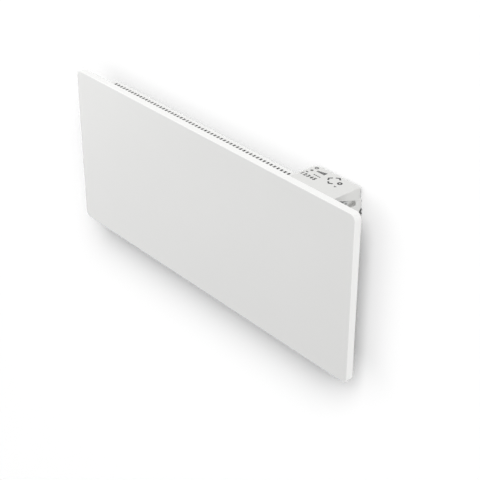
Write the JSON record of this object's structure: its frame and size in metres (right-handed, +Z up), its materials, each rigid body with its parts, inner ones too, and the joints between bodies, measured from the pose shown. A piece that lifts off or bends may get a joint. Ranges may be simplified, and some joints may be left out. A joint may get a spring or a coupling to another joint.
{
  "type": "wall panel convector heater",
  "caption": "Wall-hung electric panel convector: flat folded steel front, slotted air outlet on top, finned element, touch control box with side rocker, and a wall bracket with turn-locks.",
  "frame": {"origin": "centre of the wall bracket's four fixing holes, on the wall plane", "axes": "+X to the right of someone facing the heater, along its length; +Y into the wall; +Z up"},
  "size_m": [0.866, 0.09, 0.37],
  "materials": {
    "white_enamel": "satin powder coat",
    "galvanised_steel": "zinc coated",
    "element_aluminium": "mill finish",
    "sheath_steel": "oxidised",
    "white_ceramic": "matte",
    "white_plastic": "fine grain",
    "grey_plastic": "moulded",
    "black_plastic": "moulded",
    "board_green": "solder mask",
    "black_rubber": "matte",
    "lead_sleeve": "silicone sleeve"
  },
  "bodies": {
    "heater": {"front_panel": "white_enamel", "panel_nuts": "galvanised_steel", "left_stiffener": "galvanised_steel", "right_stiffener": "galvanised_steel", "heat_shield": "galvanised_steel", "rear_casing": "white_enamel", "left_end_plate": "white_enamel", "right_end_plate": "white_enamel", "bay_divider": "galvanised_steel", "heating_element": "element_aluminium", "element_core": "sheath_steel", "left_insulator": "white_ceramic", "right_insulator": "white_ceramic", "left_element_bracket": "galvanised_steel", "right_element_bracket": "galvanised_steel", "overheat_cutout": "black_plastic", "fuse_clip": "galvanised_steel", "thermal_fuse": "white_ceramic", "sensor_clip": "white_plastic", "room_sensor": "black_plastic", "control_housing": "white_plastic", "control_cap": "white_plastic", "touch_board": "board_green", "power_board": "board_green", "relay": "black_plastic", "terminal_block": "grey_plastic", "capacitor": "black_plastic", "shelf_screws": "galvanised_steel", "switch_frame": "grey_plastic", "supply_grommet": "black_rubber", "live_lead": "lead_sleeve", "neutral_lead": "lead_sleeve", "wall_bracket": "galvanised_steel", "left_lock_rivet": "galvanised_steel", "right_lock_rivet": "galvanised_steel", "left_catch": "galvanised_steel", "right_catch": "galvanised_steel", "left_wall_spacer": "white_plastic", "right_wall_spacer": "white_plastic"},
    "rocker": {"mains_rocker": "grey_plastic"},
    "left_lock": {"left_turn_lock": "galvanised_steel"},
    "right_lock": {"right_turn_lock": "galvanised_steel"}
  },
  "joints": [
    {"name": "rocker_tip", "type": "hinge", "parent": "heater", "child": "rocker", "pos_m": [0.3563, -0.043, 0.1598], "axis": [0, 0, -1], "range_deg": [0, 18]},
    {"name": "left_lock_turn", "type": "hinge", "parent": "heater", "child": "left_lock", "pos_m": [-0.2, -0.0274, 0.13], "axis": [0, 1, 0], "range_deg": [0, 90]},
    {"name": "right_lock_turn", "type": "hinge", "parent": "heater", "child": "right_lock", "pos_m": [0.2, -0.0274, 0.13], "axis": [0, -1, 0], "range_deg": [0, 90]}
  ]
}
